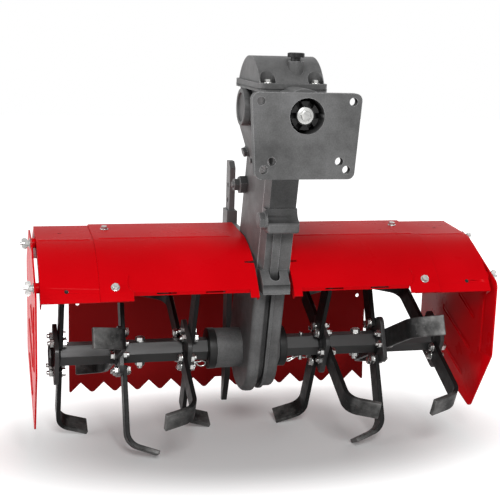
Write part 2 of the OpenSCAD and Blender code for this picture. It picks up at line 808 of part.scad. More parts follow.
stand() drive_case();
stand() chain_cover();
stand() gearbox_cover();
stand() filler_cap();
stand() bearing_cap(-1);  // bearing_cap_left
stand() bearing_cap(1);  // bearing_cap_right
stand() hood_cover(-1);  // hood_cover_left
stand() hood_cover(1);  // hood_cover_right
stand() hood_end(-1);  // hood_end_left
stand() hood_end(1);  // hood_end_right
stand() hood_bracket(-1);  // hood_bracket_left
stand() hood_bracket(1);  // hood_bracket_right
stand() side_plate(-1);  // side_plate_left
stand() side_plate(1);  // side_plate_right
stand() hinge_rod();
stand() stake_holder();
stand() rotor_shaft();
stand() rotor_tube(-1, left_tube_x);  // rotor_tube_left
stand() rotor_tube(1, right_tube_x);  // rotor_tube_right
stand() tine_set(-1, flange_in_x, -stand_a, 90 - stand_a);  // tines_left_inner
stand() tine_set(-1, middle_x(-1), stand_a, 90 + stand_a);  // tines_left_middle
stand() tine_set(-1, outer_x(-1), undef, 90 - stand_a);  // tines_left_outer
stand() tine_set(1, flange_in_x, -stand_a, 90 - stand_a);  // tines_right_inner
stand() tine_set(1, middle_x(1), stand_a, 90 + stand_a);  // tines_right_middle
stand() tine_set(1, outer_x(1), undef, -stand_a);  // tines_right_outer
stand() rear_flap();
stand() depth_stake();
stand() input_coupling();
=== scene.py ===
import json
import math
import bpy
from mathutils import Matrix, Vector


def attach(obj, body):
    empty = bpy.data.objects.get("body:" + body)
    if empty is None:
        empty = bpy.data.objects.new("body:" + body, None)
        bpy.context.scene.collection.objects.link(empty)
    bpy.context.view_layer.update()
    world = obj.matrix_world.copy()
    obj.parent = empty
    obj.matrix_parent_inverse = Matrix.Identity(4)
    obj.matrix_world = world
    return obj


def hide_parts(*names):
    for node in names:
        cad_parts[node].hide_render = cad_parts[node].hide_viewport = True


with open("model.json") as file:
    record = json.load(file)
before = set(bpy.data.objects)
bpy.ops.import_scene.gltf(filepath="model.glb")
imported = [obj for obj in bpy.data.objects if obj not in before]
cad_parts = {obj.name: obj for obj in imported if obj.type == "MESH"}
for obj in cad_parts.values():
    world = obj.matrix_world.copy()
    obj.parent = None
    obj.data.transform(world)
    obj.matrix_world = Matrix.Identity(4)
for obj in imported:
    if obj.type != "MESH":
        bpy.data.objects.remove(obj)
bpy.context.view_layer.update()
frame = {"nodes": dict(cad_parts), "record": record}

nodes = frame["nodes"]
rotorJoint = [j for j in frame["record"]["behaviour"]["joints"] if j["name"] == "rotor_spin"][0]
axle = Vector(rotorJoint["pos_m"])  # middle of the rotor axis
mm = 0.001


def spot(x, y, z):
    # a place given in millimetres from the middle of the rotor axis
    return axle + Vector((x, y, z)) * mm


def clearSelection():
    if bpy.context.object and bpy.context.object.mode != "OBJECT":
        leaveEdit()
    bpy.ops.object.select_all(action="DESELECT")


def pick(piece):
    clearSelection()
    piece.select_set(True)
    bpy.context.view_layer.objects.active = piece


def enterEdit():
    bpy.ops.object.mode_set(mode="EDIT")


def leaveEdit():
    bpy.ops.object.mode_set(mode="OBJECT")


def selectNothing(piece, kind):
    pick(piece)
    enterEdit()
    bpy.ops.mesh.select_mode(type=kind)
    bpy.ops.mesh.select_all(action="DESELECT")
    leaveEdit()


def editFaces(piece, wanted):
    # edit mode with only the faces chosen by wanted(middle, normal) selected
    selectNothing(piece, "FACE")
    for face in piece.data.polygons:
        face.select = wanted(face.center, face.normal)
    enterEdit()


def editEdges(piece, wanted):
    # edit mode with only the edges chosen by wanted(end, end) selected
    selectNothing(piece, "EDGE")
    points = piece.data.vertices
    for edge in piece.data.edges:
        edge.select = wanted(points[edge.vertices[0]].co, points[edge.vertices[1]].co)
    enterEdit()


def editAll(piece):
    pick(piece)
    enterEdit()
    bpy.ops.mesh.select_all(action="SELECT")


def facesUp(middle, normal):
    return normal.z > 0.9


def insetFaces(piece, wanted, *steps):
    # insets one after another, each (thickness, depth) in millimetres
    editFaces(piece, wanted)
    for thickness, depth in steps:
        bpy.ops.mesh.inset(thickness=thickness * mm, depth=depth * mm)
    leaveEdit()


def settle(piece):
    # place, turn and size go into the mesh
    pick(piece)
    bpy.ops.object.transform_apply(location=True, rotation=True, scale=True)
    return piece


def applyAll(piece):
    pick(piece)
    for modifier in list(piece.modifiers):
        bpy.ops.object.modifier_apply(modifier=modifier.name)
    return piece


def smooth(piece, degrees=35):
    pick(piece)
    bpy.ops.object.shade_smooth_by_angle(angle=math.radians(degrees))
    return piece


def joinPieces(pieces, name):
    clearSelection()
    for piece in pieces:
        piece.select_set(True)
    bpy.context.view_layer.objects.active = pieces[0]
    if len(pieces) > 1:
        bpy.ops.object.join()
    joined = bpy.context.object
    joined.name = name
    return joined


def copyTo(master, place, axis=(0, 0, 1), turn=0.0):
    # a copy with its own mesh, its +Z turned to axis, its foot at place
    copy = bpy.data.objects.new(master.name, master.data.copy())
    bpy.context.collection.objects.link(copy)
    aim = Vector((0, 0, 1)).rotation_difference(Vector(axis)).to_matrix().to_4x4()
    copy.data.transform(Matrix.Translation(place) @ aim @ Matrix.Rotation(turn, 4, "Z"))
    return copy


def dropMasters(*masters):
    for master in masters:
        bpy.data.objects.remove(master)


def moveTo(master, place, axis=(0, 0, 1), turn=0.0):
    # for a master that is used once
    copy = copyTo(master, place, axis, turn)
    dropMasters(master)
    return copy


def finishPiece(piece, body, look):
    piece.data.materials.clear()
    piece.data.materials.append(looks[look])
    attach(piece, body)
    return piece


# Nodes of the materials

def grey(level):
    return (level, level, level)


def noise(tree, place, scale, detail=4.0, roughness=0.55, stretch=None):
    if stretch:
        mapping = tree.nodes.new("ShaderNodeMapping")
        mapping.inputs["Scale"].default_value = stretch
        tree.links.new(place, mapping.inputs["Vector"])
        place = mapping.outputs["Vector"]
    node = tree.nodes.new("ShaderNodeTexNoise")
    node.inputs["Scale"].default_value = scale
    node.inputs["Detail"].default_value = detail
    node.inputs["Roughness"].default_value = roughness
    tree.links.new(place, node.inputs["Vector"])
    return node.outputs["Fac"]


def ramp(tree, value, stops):
    node = tree.nodes.new("ShaderNodeValToRGB")
    band = node.color_ramp
    while len(band.elements) < len(stops):
        band.elements.new(0.5)
    for element, (at, color) in zip(band.elements, stops):
        element.position = at
        element.color = (*color, 1)
    tree.links.new(value, node.inputs["Fac"])
    return node.outputs["Color"]


def blendColor(tree, factor, first, second):
    node = tree.nodes.new("ShaderNodeMix")
    node.data_type = "RGBA"
    tree.links.new(factor, node.inputs["Factor"])
    for socket, value in ((node.inputs["A"], first), (node.inputs["B"], second)):
        if isinstance(value, tuple):
            socket.default_value = (*value, 1)
        else:
            tree.links.new(value, socket)
    return node.outputs["Result"]


def multiplyColor(tree, color, shade, share=1.0):
    node = tree.nodes.new("ShaderNodeMix")
    node.data_type = "RGBA"
    node.blend_type = "MULTIPLY"
    node.inputs["Factor"].default_value = share
    tree.links.new(color, node.inputs["A"])
    tree.links.new(shade, node.inputs["B"])
    return node.outputs["Result"]


def maths(tree, operation, *values):
    node = tree.nodes.new("ShaderNodeMath")
    node.operation = operation
    for socket, value in zip(node.inputs, values):
        if isinstance(value, (int, float)):
            socket.default_value = value
        else:
            tree.links.new(value, socket)
    return node.outputs["Value"]


def vectors(tree, operation, first, second=None):
    node = tree.nodes.new("ShaderNodeVectorMath")
    node.operation = operation
    tree.links.new(first, node.inputs[0])
    if isinstance(second, bpy.types.NodeSocket):
        tree.links.new(second, node.inputs[1])
    elif second is not None:
        node.inputs[1].default_value = second
    return node.outputs["Value" if operation in ("LENGTH", "DOT_PRODUCT") else "Vector"]


def part(tree, vector, axis):
    node = tree.nodes.new("ShaderNodeSeparateXYZ")
    tree.links.new(vector, node.inputs["Vector"])
    return node.outputs[axis]


def bump(tree, shader, height, distance, strength):
    node = tree.nodes.new("ShaderNodeBump")
    node.inputs["Distance"].default_value = distance
    node.inputs["Strength"].default_value = strength
    tree.links.new(height, node.inputs["Height"])
    tree.links.new(node.outputs["Normal"], shader.inputs["Normal"])


def edgeMask(tree, place, radius, low, high):
    # 1 along sharp edges, broken up by a noise
    rim = tree.nodes.new("ShaderNodeBevel")
    rim.samples = 4
    rim.inputs["Radius"].default_value = radius
    face = tree.nodes.new("ShaderNodeNewGeometry")
    likeness = vectors(tree, "DOT_PRODUCT", rim.outputs["Normal"], face.outputs["Normal"])
    bare = maths(tree, "SUBTRACT", 1.0, likeness)
    patchy = maths(tree, "MULTIPLY", bare, noise(tree, place, scale=60.0, detail=5.0))
    return ramp(tree, patchy, [(low, grey(0)), (high, grey(1))])


def paintNearShade(tree, color, reach, deep):
    # the color with painted shade, darker where other faces are near
    near = tree.nodes.new("ShaderNodeAmbientOcclusion")
    near.samples = 6
    near.inputs["Distance"].default_value = reach
    shade = ramp(tree, near.outputs["AO"], [(0.15, grey(deep)), (0.85, grey(1.0))])
    return multiplyColor(tree, color, shade)


# Rear flap: painted shade darkens the face towards the rotor, which lies in the hood's shadow

flapShade = {"tone": (0.40, 0.014, 0.015), "facing": [(0.5, grey(0)), (0.8, grey(1))]}


def shadeInside(tree, shader, place, color):
    forward = maths(tree, "MULTIPLY", part(tree, place.node.outputs["Normal"], "Y"), -1.0)
    return blendColor(tree, ramp(tree, forward, flapShade["facing"]), color, flapShade["tone"])


# Tines: black paint, rubbed to grey steel towards the blade ends, in shares of the full reach in metres

bladeRub = {"reach": 0.2, "ragged": 0.05, "raggedCloud": {"scale": 38.0, "detail": 6.0, "roughness": 0.65},
            "rubbed": [(0.84, grey(0)), (0.96, grey(0.7))],
            "specked": [(0.7, grey(0)), (0.9, grey(1))], "specks": [(0.6, grey(0)), (0.68, grey(0.8))],
            "speckCloud": {"scale": 210.0, "detail": 6.0, "roughness": 0.7},
            "rim": {"radius": 0.002, "low": 0.09, "high": 0.27},
            "steel": [(0.3, (0.10, 0.098, 0.095)), (0.7, (0.25, 0.248, 0.243))],
            "steelCloud": {"scale": 60.0, "detail": 6.0}, "metal": 0.6}


def rubBlades(tree, shader, place, paint):
    fromAxis = vectors(tree, "MULTIPLY", vectors(tree, "SUBTRACT", place, axle), (0, 1, 1))
    ragged = maths(tree, "MULTIPLY_ADD", noise(tree, place, **bladeRub["raggedCloud"]),
                   bladeRub["ragged"], -bladeRub["ragged"] / 2)
    out = maths(tree, "ADD", vectors(tree, "LENGTH", fromAxis), ragged)
    share = maths(tree, "MULTIPLY", out, 1 / bladeRub["reach"])
    specks = maths(tree, "MULTIPLY", ramp(tree, share, bladeRub["specked"]),
                   ramp(tree, noise(tree, place, **bladeRub["speckCloud"]), bladeRub["specks"]))
    bare = maths(tree, "MAXIMUM", ramp(tree, share, bladeRub["rubbed"]), specks)
    bare = maths(tree, "MAXIMUM", bare, edgeMask(tree, place, **bladeRub["rim"]))
    tree.links.new(maths(tree, "MULTIPLY", bare, bladeRub["metal"]), shader.inputs["Metallic"])
    steel = ramp(tree, noise(tree, place, **bladeRub["steelCloud"]), bladeRub["steel"])
    return blendColor(tree, bare, paint, steel)


# Depth stake: painted shade, darker towards its lower end below the hood, by height in metres

stakeShade = {"tone": grey(0.022), "heights": [(0.2, grey(1)), (0.3, grey(0))], "ragged": 0.06,
             "cloud": {"scale": 30.0, "detail": 5.0}}


def shadeLowEnd(tree, shader, place, color):
    ragged = maths(tree, "MULTIPLY", noise(tree, place, **stakeShade["cloud"]), stakeShade["ragged"])
    soiled = ramp(tree, maths(tree, "ADD", part(tree, place, "Z"), ragged), stakeShade["heights"])
    return blendColor(tree, soiled, color, stakeShade["tone"])


# Finishes: tones over a cloud of noise, worn rims (pale on the castings, partly as a painted highlight),
# painted shade in nooks, uneven dullness and a fine grain

coats = {
    "red": {
        "name": "redGloss", "slot": "red_paint", "cloud": {"scale": 5.0, "detail": 3.0},
        "tones": [(0.3, (0.60, 0.0010, 0.004)), (0.55, (0.66, 0.0014, 0.005)), (0.75, (0.72, 0.002, 0.007))],
        "rim": {"radius": 0.0012, "low": 0.14, "high": 0.34}, "rimTone": (0.30, 0.03, 0.03),
        "nook": {"reach": 0.005, "deep": 0.4}, "dullCloud": {"scale": 14.0}, "dull": (0.24, 0.36),
        "grain": {"scale": 260.0, "detail": 2.0}, "bump": {"distance": 0.00012, "strength": 0.4},
        "sockets": {"IOR": 1.1}},
    "cast": {
        "name": "castGrey", "slot": "cast_grey", "cloud": {"scale": 13.0, "detail": 8.0, "roughness": 0.66},
        "tones": [(0.26, grey(0.055)), (0.5, grey(0.12)), (0.74, (0.19, 0.19, 0.192))],
        "specks": [(0.36, grey(0.72)), (0.6, grey(1.0))], "speckCloud": {"scale": 420.0, "detail": 2.0},
        # the pale rims of the castings are edge wear and also a painted highlight
        "speckShare": 0.6, "rim": {"radius": 0.0025, "low": 0.07, "high": 0.22},
        # near shade on the castings: painted shade with a long reach, darker under the flange and beside the
        # hood
        "rimTone": (0.42, 0.42, 0.425), "nook": {"reach": 0.14, "deep": 0.2},
        "dullCloud": {"scale": 30.0}, "dull": (0.42, 0.58),
        "grain": {"scale": 520.0, "detail": 4.0}, "bump": {"distance": 0.0005, "strength": 0.35},
        "sockets": {"Specular IOR Level": 0.25}},
    "black": {
        "name": "blackSatin", "slot": "black_steel", "cloud": {"scale": 16.0, "detail": 5.0},
        "tones": [(0.35, grey(0.006)), (0.6, grey(0.010)), (0.8, (0.018, 0.0175, 0.017))],
        "rim": {"radius": 0.0015, "low": 0.14, "high": 0.32}, "rimTone": grey(0.08),
        "dullCloud": {"scale": 45.0}, "dull": (0.34, 0.5),
        "grain": {"scale": 330.0, "detail": 3.0}, "bump": {"distance": 0.0003, "strength": 0.35},
        "sockets": {"Specular IOR Level": 0.25}},
    "tube": {
        "name": "tubeGrey", "slot": "black_steel",
        "cloud": {"scale": 14.0, "detail": 5.0, "stretch": (0.35, 1, 1)},
        "tones": [(0.3, grey(0.022)), (0.55, grey(0.036)), (0.8, grey(0.056))],
        "rim": {"radius": 0.0015, "low": 0.12, "high": 0.3}, "rimTone": grey(0.14),
        "dullCloud": {"scale": 60.0, "stretch": (0.2, 1, 1)}, "dull": (0.32, 0.48),
        "grain": {"scale": 300.0, "detail": 3.0, "stretch": (0.15, 1, 1)},
        "bump": {"distance": 0.0003, "strength": 0.3}, "sockets": {"Specular IOR Level": 0.35}},
    "tine": {
        "name": "wornTine", "slot": "tine_steel", "cloud": {"scale": 22.0, "detail": 5.0},
        "tones": [(0.3, grey(0.005)), (0.7, grey(0.011))], "change": rubBlades,
        "dullCloud": {"scale": 70.0}, "dull": (0.4, 0.56),
        "grain": {"scale": 240.0, "detail": 5.0}, "bump": {"distance": 0.0006, "strength": 0.4},
        "sockets": {"Specular IOR Level": 0.14}},
    "stake": {
        "name": "stakeGrey", "slot": "grey_steel",
        "cloud": {"scale": 20.0, "detail": 5.0, "stretch": (1, 1, 0.3)},
        "tones": [(0.3, grey(0.13)), (0.55, grey(0.18)), (0.8, grey(0.23))],
        # the change is painted shade at the stake's lower end
        "rim": {"radius": 0.0015, "low": 0.1, "high": 0.28}, "rimTone": grey(0.3), "change": shadeLowEnd,
        "dullCloud": {"scale": 40.0}, "dull": (0.38, 0.55),
        "grain": {"scale": 300.0, "detail": 3.0, "stretch": (1, 1, 0.2)},
        "bump": {"distance": 0.0003, "strength": 0.35}, "sockets": {"Specular IOR Level": 0.3}},
    "zinc": {
        "name": "zincPlate", "slot": "zinc", "cloud": {"scale": 120.0},
        "tones": [(0.3, (0.38, 0.38, 0.37)), (0.55, (0.50, 0.50, 0.49)), (0.8, (0.62, 0.61, 0.58))],
        "nook": {"reach": 0.004, "deep": 0.16}, "dullCloud": {"scale": 200.0, "detail": 3.0},
        "dull": (0.2, 0.36), "grain": {"scale": 900.0, "detail": 2.0},
        "bump": {"distance": 0.0001, "strength": 0.4}, "sockets": {"Metallic": 0.95}},
    "plastic": {
        "name": "mouldedBlack", "slot": "black_plastic", "cloud": {"scale": 60.0},
        "tones": [(0.3, grey(0.005)), (0.7, grey(0.012))],
        "dullCloud": {"scale": 150.0, "detail": 3.0}, "dull": (0.36, 0.5),
        "grain": {"scale": 1100.0, "detail": 2.0}, "bump": {"distance": 0.00015, "strength": 0.5},
        "sockets": {"Specular IOR Level": 0.25}},
}
# the flap's red, with painted shade on the face towards the rotor
coats["flapRed"] = {**coats["red"], "name": "flapRed", "change": shadeInside}


def coatLook(coat):
    look = bpy.data.materials.new(coat["name"])
    look.use_nodes = True
    tree = look.node_tree
    shader = tree.nodes["Principled BSDF"]
    place = tree.nodes.new("ShaderNodeTexCoord").outputs["Object"]
    color = ramp(tree, noise(tree, place, **coat["cloud"]), coat["tones"])
    if "specks" in coat:
        specks = ramp(tree, noise(tree, place, **coat["speckCloud"]), coat["specks"])
        color = multiplyColor(tree, color, specks, coat["speckShare"])
    if "rim" in coat:
        color = blendColor(tree, edgeMask(tree, place, **coat["rim"]), color, coat["rimTone"])
    if "change" in coat:
        color = coat["change"](tree, shader, place, color)
    # painted shade: darker in nooks and corners where other faces are near
    if "nook" in coat:
        color = paintNearShade(tree, color, **coat["nook"])
    tree.links.new(color, shader.inputs["Base Color"])
    low, high = coat["dull"]
    dull = ramp(tree, noise(tree, place, **coat["dullCloud"]), [(0.3, grey(low)), (0.7, grey(high))])
    tree.links.new(dull, shader.inputs["Roughness"])
    bump(tree, shader, noise(tree, place, **coat["grain"]), **coat["bump"])
    for socket, value in coat["sockets"].items():
        shader.inputs[socket].default_value = value
    return look


looks = {look: coatLook(coat) for look, coat in coats.items()}
print("materials ready")


# CAD nodes, replaced by copies with softened edges: body, look, edge radius in mm, shading angle in degrees

softShade, sheetShade = 35, 14
softened = {
    "drive_case": ("frame", "cast", 2.2, softShade), "chain_cover": ("frame", "cast", 2.4, softShade),
    "gearbox_cover": ("frame", "cast", 1.8, softShade),
    "bearing_cap_left": ("frame", "cast", 1.5, softShade),
    "bearing_cap_right": ("frame", "cast", 1.5, softShade),
    "hood_cover_left": ("frame", "red", 0, sheetShade), "hood_cover_right": ("frame", "red", 0, sheetShade),
    "hood_end_left": ("frame", "red", 0, sheetShade), "hood_end_right": ("frame", "red", 0, sheetShade),
    "hood_bracket_left": ("frame", "black", 0.6, softShade),
    "hood_bracket_right": ("frame", "black", 0.6, softShade),
    "side_plate_left": ("frame", "red", 0.6, softShade),
    "side_plate_right": ("frame", "red", 0.6, softShade),
    "hinge_rod": ("frame", "zinc", 0.8, softShade), "stake_holder": ("frame", "stake", 1.2, softShade),
    "rotor_shaft": ("rotor", "black", 1.2, softShade),
    "rotor_tube_left": ("rotor", "tube", 0.8, softShade),
    "rotor_tube_right": ("rotor", "tube", 0.8, softShade),
    "tines_left_inner": ("rotor", "tine", 1.4, softShade),
    "tines_left_middle": ("rotor", "tine", 1.4, softShade),
    "tines_left_outer": ("rotor", "tine", 1.4, softShade),
    "tines_right_inner": ("rotor", "tine", 1.4, softShade),
    "tines_right_middle": ("rotor", "tine", 1.4, softShade),
    "tines_right_outer": ("rotor", "tine", 1.4, softShade),
    "rear_flap": ("flap", "flapRed", 0.5, softShade), "depth_stake": ("stake", "stake", 1.0, softShade),
    "input_coupling": ("input", "black", 0.8, softShade),
}


def camelName(node):
    first, *rest = node.split("_")
    return first + "".join(word.capitalize() for word in rest)


def mergedCopy(node):
    piece = bpy.data.objects.new(camelName(node), nodes[node].data.copy())
    bpy.context.collection.objects.link(piece)
    editAll(piece)
    bpy.ops.mesh.remove_doubles(threshold=0.00001)
    bpy.ops.mesh.dissolve_limited(angle_limit=math.radians(0.4))
    leaveEdit()
    return piece


def evenFlats(piece, corners=8, area=0.00005):
    # wide flat faces with many corners are shaded dead flat
    mesh = piece.data
    normals = [Vector(corner.vector) for corner in mesh.corner_normals]
    for face in mesh.polygons:
        if len(face.vertices) > corners and face.area > area:
            for loop in face.loop_indices:
                normals[loop] = face.normal.copy()
    mesh.normals_split_custom_set(normals)


def softEdges(piece, radius, shade=softShade, segments=2, degrees=32):
    # small rounds of a radius in millimetres on edges sharper than degrees, then even shading
    if radius:
        rim = piece.modifiers.new("softEdge", "BEVEL")
        rim.limit_method = "ANGLE"
        rim.angle_limit = math.radians(degrees)
        rim.width = radius * mm
        rim.segments = segments
        applyAll(piece)
    smooth(piece, shade)
    if radius:
        even = piece.modifiers.new("evenShade", "WEIGHTED_NORMAL")
        even.keep_sharp = True
        even.weight = 100
        applyAll(piece)
        evenFlats(piece)
    return piece


def roundOff(piece, wanted, radius, segments):
    # a wide rounding on the edges chosen by wanted(end, end), ends in mm from the rotor axis
    editEdges(piece, lambda a, b: wanted((a - axle) / mm, (b - axle) / mm))
    bpy.ops.mesh.bevel(offset=radius * mm, segments=segments, affect="EDGES", clamp_overlap=False)
    leaveEdit()
    return piece


# Leg: rounded outer edges round its foot, outside the bearing caps, and a rounded lug

legRounds = {"outX": 29.0, "outR": 9.0, "coverR": 5.4, "seamX": -7.5, "seamR": 4.0, "topZ": 120.0,
             "capsR": 60.0, "lugY": -172.0, "lugBackY": -100.0, "lugZ": 247.0, "lugR": 5.0}


def bothAt(a, b, value, slack):
    return abs(a - value) < slack and abs(b - value) < slack


def legRim(faceX):
    def wanted(a, b):
        low = min(a.z, b.z) < legRounds["topZ"]
        return bothAt(a.x, b.x, faceX, 0.05) and low and min(a.yz.length, b.yz.length) > legRounds["capsR"]
    return wanted


def lugRim(a, b):
    front = bothAt(a.y, b.y, legRounds["lugY"], 0.5)
    under = bothAt(a.z, b.z, legRounds["lugZ"], 0.5) and max(a.y, b.y) < legRounds["lugBackY"]
    return front or (under and abs(a.y - b.y) > 2)


def roundCase(piece, node):
    if node == "drive_case":
        roundOff(piece, legRim(-legRounds["outX"]), legRounds["outR"], segments=5)
        roundOff(piece, legRim(legRounds["seamX"]), legRounds["seamR"], segments=3)
        roundOff(piece, lugRim, legRounds["lugR"], segments=4)
    if node == "chain_cover":
        roundOff(piece, legRim(legRounds["outX"]), legRounds["coverR"], segments=4)
    return piece


# Rear flap: rounded tooth tips, and a lower part that leans forward from a bend line

flapForm = {"tipZ": -171.5, "tipR": 7.0, "bendY": 274.0, "bendZ": -56.0, "lean": 5.0}


def flapTip(a, b):
    return max(a.z, b.z) < flapForm["tipZ"] and abs(a.x - b.x) < 0.1


def bendFlap(piece):
    editAll(piece)
    line = spot(0, flapForm["bendY"], flapForm["bendZ"])
    bpy.ops.mesh.bisect(plane_co=line, plane_no=(0, 0, 1))
    leaveEdit()
    editFaces(piece, lambda middle, normal: middle.z < line.z)
    bpy.ops.transform.rotate(value=math.radians(flapForm["lean"]), orient_axis="X", center_override=line)
    leaveEdit()
    return piece


# Side plate: pressed ribs, given as (Y, Z) ends, proud outside and hollow inside

plateRibs = {"inX": 406.0, "outX": 409.0, "wide": 5.0, "proud": 2.2, "shade": 40,
             "lines": [((-12, 93), (-78, 67)), ((58, 48), (-67, 3)), ((62, -18), (-42, -56)),
                       ((-119, 115), (-117, 11))]}


def roundBar(long, wide, high):
    # a ball pulled out along Z and flattened along X, in millimetres
    clearSelection()
    bpy.ops.mesh.primitive_uv_sphere_add(segments=20, ring_count=10, radius=wide * mm)
    bar = bpy.context.object
    editFaces(bar, lambda middle, normal: middle.z > 0)
    bpy.ops.mesh.extrude_region_move(TRANSFORM_OT_translate={"value": (0, 0, long * mm)})
    leaveEdit()
    bar.scale = (high / wide, 1, 1)
    return settle(bar)


def ribBar(side, start, end, faceX):
    bar = roundBar((Vector(end) - Vector(start)).length, plateRibs["wide"], plateRibs["proud"])
    bar.rotation_euler = (-math.atan2(end[0] - start[0], end[1] - start[1]), 0, 0)
    bar.location = spot(side * faceX, *start)
    return smooth(settle(bar), plateRibs["shade"])


def cutAway(piece, cutter):
    hollow = piece.modifiers.new("cutAway", "BOOLEAN")
    hollow.operation = "DIFFERENCE"
    hollow.solver = "EXACT"
    hollow.object = cutter
    applyAll(piece)
    dropMasters(cutter)


def pressRibs(piece, side):
    for start, end in plateRibs["lines"]:
        cutAway(piece, ribBar(side, start, end, plateRibs["inX"]))
    smooth(piece, plateRibs["shade"])
    ridges = [ribBar(side, start, end, plateRibs["outX"]) for start, end in plateRibs["lines"]]
    return joinPieces([piece, *ridges], piece.name)


dressed = {}
for node, (body, look, radius, shade) in softened.items():
    piece = roundCase(mergedCopy(node), node)
    if node == "rear_flap":
        bendFlap(roundOff(piece, flapTip, flapForm["tipR"], segments=5))
    softEdges(piece, radius, shade)
    if node.startswith("side_plate"):
        piece = pressRibs(piece, -1 if node.endswith("left") else 1)
    finishPiece(piece, body, look)
    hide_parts(node)
    dressed[node] = piece
print("nodes dressed:", len(dressed))


# Bolts and nuts, each standing on +Z, with chamfers and crowns as shares of their sizes

boltForm = {"chamfer": 0.16, "crown": 0.12, "flat": 0.2, "washerRim": 0.3, "shade": 30}
nutForm = {"chamfer": 0.14, "crown": 0.1, "studChamfer": 0.25, "studCrown": 0.3, "shade": 30}


def cylinder(radius, depth, place=(0, 0, 0), vertices=28, turn=(0, 0, 0)):
    # the start of a piece, in millimetres
    clearSelection()
    bpy.ops.mesh.primitive_cylinder_add(vertices=vertices, radius=radius * mm, depth=depth * mm,
                                        location=[v * mm for v in place], rotation=turn)
    return settle(bpy.context.object)


def hexagon(flatR, high, foot=0.0):
    return cylinder(flatR / math.cos(math.radians(30)), high, (0, 0, foot + high / 2), 6)


def boltHead(flatR, headH, washerR, washerT):
    head = hexagon(flatR, headH, washerT)
    insetFaces(head, facesUp, (flatR * boltForm["chamfer"], headH * boltForm["crown"]),
               (flatR * boltForm["flat"], 0))
    washer = cylinder(washerR, washerT, (0, 0, washerT / 2))
    editEdges(washer, lambda a, b: min(a.z, b.z) > washerT / 2 * mm)
    bpy.ops.mesh.bevel(offset=washerT * boltForm["washerRim"] * mm, segments=2)
    leaveEdit()
    return smooth(joinPieces([head, washer], "boltHead"), boltForm["shade"])


def nutEnd(flatR, nutH, studR, studH):
    nut = hexagon(flatR, nutH)
    insetFaces(nut, facesUp, (flatR * nutForm["chamfer"], nutH * nutForm["crown"]))
    stud = cylinder(studR, nutH + studH, (0, 0, (nutH + studH) / 2), 16)
    insetFaces(stud, facesUp, (studR * nutForm["studChamfer"], studR * nutForm["studCrown"]))
    return smooth(joinPieces([nut, stud], "nutEnd"), nutForm["shade"])


def wireClip(path, radius):
    # a bent wire through the points of path, in millimetres
    clearSelection()
    bpy.ops.curve.primitive_bezier_curve_add()
    wire = bpy.context.object
    spline = wire.data.splines[0]
    spline.bezier_points.add(len(path) - 2)
    for point, place in zip(spline.bezier_points, path):
        point.co = Vector(place) * mm
        point.handle_left_type = point.handle_right_type = "AUTO"
    wire.data.bevel_depth = radius * mm
    wire.data.bevel_resolution = 3
    wire.data.resolution_u = 8
    wire.data.use_fill_caps = True
    bpy.ops.object.convert(target="MESH")
    return smooth(settle(bpy.context.object), degrees=40)


# Tine bolts: two side by side through each tine and its flange

tineBolts = {"rootR": 35.0, "apart": 20.0, "tineT": 8.0, "flangeT": 8.0, "stand": 24.5,
             "head": {"flatR": 6.5, "headH": 5.0, "washerR": 8.6, "washerT": 1.4},
             "nut": {"flatR": 6.5, "nutH": 6.0, "studR": 3.9, "studH": 4.0}}


def tineAngles():
    # flange X with its side, tine angle above straight ahead, and the way that its blade turns
    stand = tineBolts["stand"]
    sets = [(-1, 130, -stand, 90 - stand), (-1, 253, stand, 90 + stand), (-1, 367, None, 90 - stand),
            (1, 130, -stand, 90 - stand), (1, 244, stand, 90 + stand), (1, 358, None, -stand)]
    for side, x, away, toward in sets:
        for half in (0, 180):
            if away is not None:
                yield side * x, away + half, side
            yield side * x, toward + half, -side


def fitTineBolts():
    head = boltHead(**tineBolts["head"])
    nut = nutEnd(**tineBolts["nut"])
    copies = []
    for x, angle, way in tineAngles():
        a = math.radians(angle)
        out = Vector((0, -math.cos(a), math.sin(a)))
        across = Vector((0, math.sin(a), math.cos(a)))
        tineFace = way * (tineBolts["flangeT"] / 2 + tineBolts["tineT"])
        backFace = -way * tineBolts["flangeT"] / 2
        for step in (-0.5, 0.5):
            root = out * tineBolts["rootR"] + across * step * tineBolts["apart"]
            copies.append(copyTo(head, spot(x + tineFace, root.y, root.z), (way, 0, 0), a))
            copies.append(copyTo(nut, spot(x + backFace, root.y, root.z), (-way, 0, 0), a))
    dropMasters(head, nut)
    finishPiece(joinPieces(copies, "tineBolts"), "rotor", "zinc")


fitTineBolts()


# Welds where the tine flanges sit on the hexagonal tube

tubeWelds = {"hexR": 21.94, "foot": 4.5, "rim": 0.4, "flangeT": 8.0, "cuts": 5, "uneven": 0.5, "shade": 60,
             "at": (-367, -253, -130, 130, 244, 358)}


def fitWelds():
    clearSelection()
    bpy.ops.mesh.primitive_cone_add(vertices=6, radius1=(tubeWelds["hexR"] + tubeWelds["foot"]) * mm,
                                    radius2=(tubeWelds["hexR"] + tubeWelds["rim"]) * mm,
                                    depth=tubeWelds["foot"] * mm, location=(0, 0, tubeWelds["foot"] / 2 * mm))
    bead = settle(bpy.context.object)
    editFaces(bead, lambda middle, normal: abs(normal.z) < 0.9)
    bpy.ops.mesh.subdivide(number_cuts=tubeWelds["cuts"])
    bpy.ops.mesh.select_all(action="SELECT")
    bpy.ops.transform.vertex_random(offset=tubeWelds["uneven"] * mm, seed=4)
    leaveEdit()
    smooth(bead, tubeWelds["shade"])
    copies = []
    for x in tubeWelds["at"]:
        for way in (-1, 1):
            copies.append(copyTo(bead, spot(x + way * tubeWelds["flangeT"] / 2, 0, 0), (way, 0, 0)))
    dropMasters(bead)
    finishPiece(joinPieces(copies, "tubeWelds"), "rotor", "black")


fitWelds()


# Cross bolts and clip pins that hold the tubes on the shaft; wires as (X, Z) from the pin's hole

